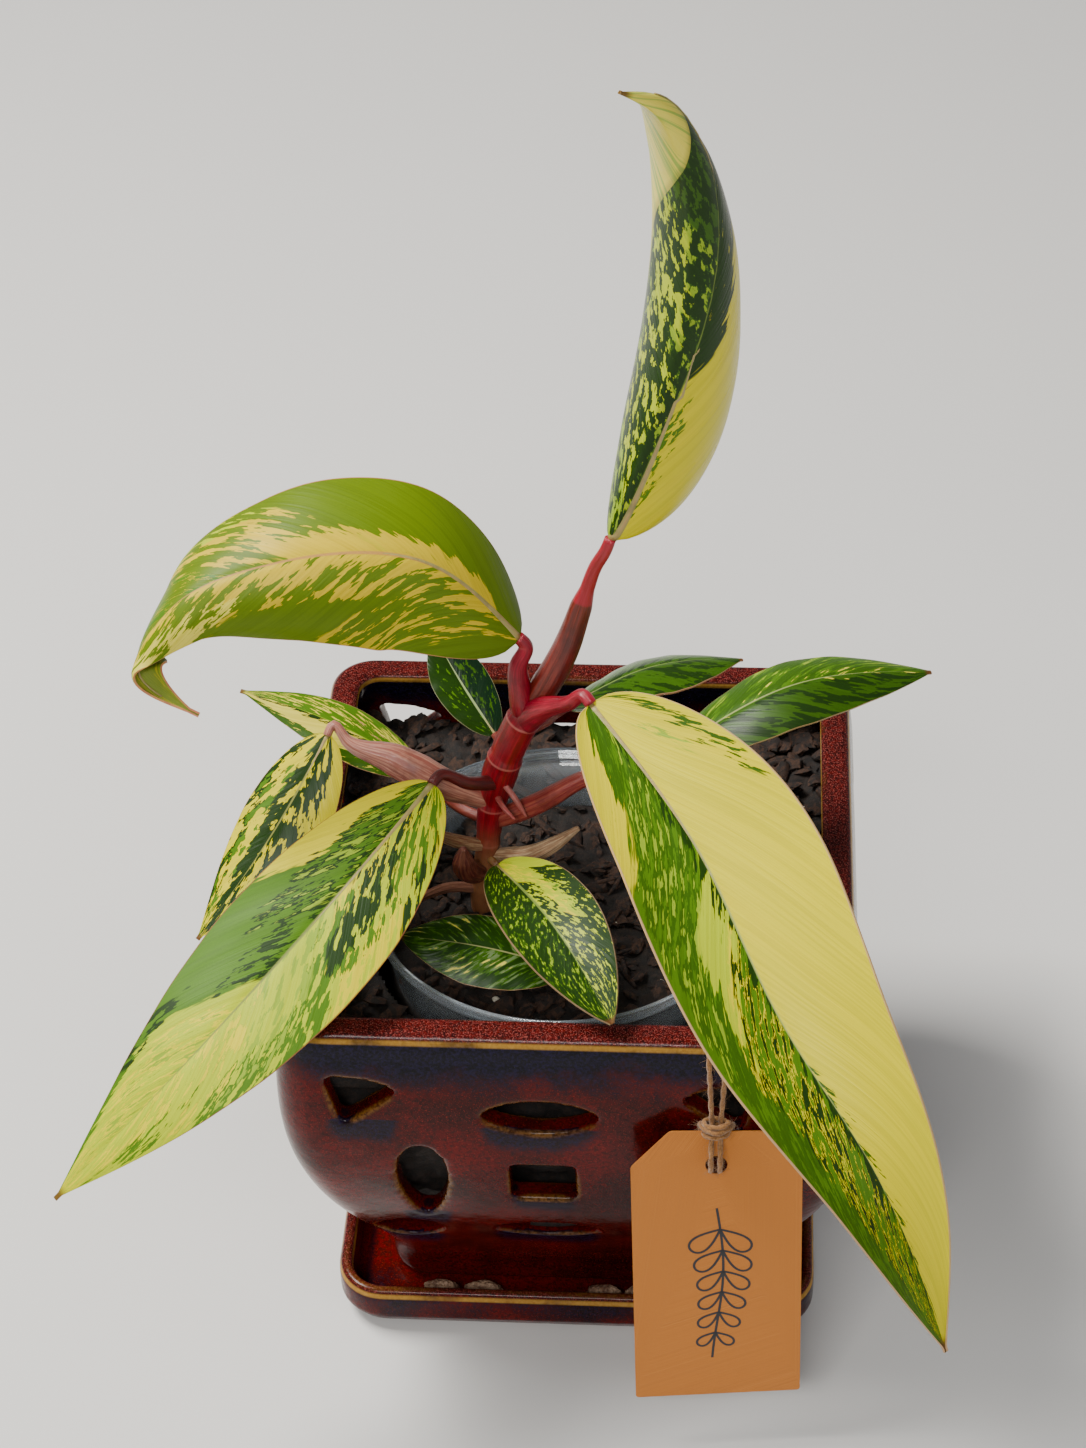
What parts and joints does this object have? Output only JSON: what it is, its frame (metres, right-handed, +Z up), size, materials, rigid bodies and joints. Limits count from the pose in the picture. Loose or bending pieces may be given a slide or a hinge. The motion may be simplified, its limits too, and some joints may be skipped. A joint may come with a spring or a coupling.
{
  "type": "potted philodendron",
  "caption": "Variegated philodendron in a clear nursery pot inside a square glazed pierced pot on a saucer, with a card tag on twine.",
  "frame": {"origin": "centre of the saucer's flat underside, on the floor", "axes": "+Z up, -Y towards the front wall with the tag, +X to the right seen from the front"},
  "size_m": [0.2758, 0.253, 0.4437],
  "materials": {
    "bark": "dark loose bark chips with perlite, matt",
    "clear_plastic": "clear thin polypropylene, glossy",
    "dried_stalk": "dry papery brown, matt",
    "jute": "twisted natural jute, hairy",
    "kraft_card": "brown kraft card, matt, with a plain drawn sprig",
    "leaf_arching": "olive green with cream-orange streaks, waxy",
    "leaf_back_left": "green, cream and pink lengthwise stripes, waxy",
    "leaf_back_middle": "dark green, glossy",
    "leaf_back_right": "dark green with yellow-green patches, glossy",
    "leaf_far_left": "yellow with dark green blotches, waxy",
    "leaf_far_right": "mid green with a few cream specks, glossy",
    "leaf_front_left": "cream-yellow, mid and dark green blotches, waxy",
    "leaf_front_right": "half bright yellow, half green densely streaked, waxy",
    "leaf_low_left": "dark green with cream streaks, glossy",
    "leaf_low_right": "half dark green, half yellow-green, glossy",
    "leaf_top": "half dark green with yellow flecks, half bright yellow, waxy",
    "oxblood_glaze": "glossy oxblood glaze on stoneware, blue-violet run under the rim, ochre breaks on edges",
    "petiole": "red to pinkish-brown stalks, satin",
    "potting_mix": "dark chunky bark, peat and white perlite, matt",
    "pumice": "pale crusted stone, matt",
    "stem": "crimson stem, satin, pale node rings"
  },
  "bodies": {
    "root": {"bark_fill": "bark", "bud": "dried_stalk", "dried_sheath_left": "dried_stalk", "dried_sheath_right": "dried_stalk", "hang_tag": "kraft_card", "leaf_arching": "leaf_arching", "leaf_back_left": "leaf_back_left", "leaf_back_middle": "leaf_back_middle", "leaf_back_right": "leaf_back_right", "leaf_far_left": "leaf_far_left", "leaf_far_right": "leaf_far_right", "leaf_front_left": "leaf_front_left", "leaf_front_right": "leaf_front_right", "leaf_low_left": "leaf_low_left", "leaf_low_right": "leaf_low_right", "leaf_top": "leaf_top", "nursery_pot": "clear_plastic", "old_petiole": "dried_stalk", "outer_pot": "oxblood_glaze", "petiole_arching": "petiole", "petiole_back_left": "petiole", "petiole_back_middle": "petiole", "petiole_back_right": "petiole", "petiole_front_left": "petiole", "petiole_front_right": "petiole", "petiole_low_left": "petiole", "petiole_low_right": "petiole", "petiole_top": "petiole", "potting_mix": "potting_mix", "pumice_1": "pumice", "pumice_2": "pumice", "pumice_3": "pumice", "pumice_4": "pumice", "saucer": "oxblood_glaze", "sheath_far_left": "petiole", "sheath_far_right": "petiole", "stem": "stem", "twine": "jute"}
  },
  "joints": []
}
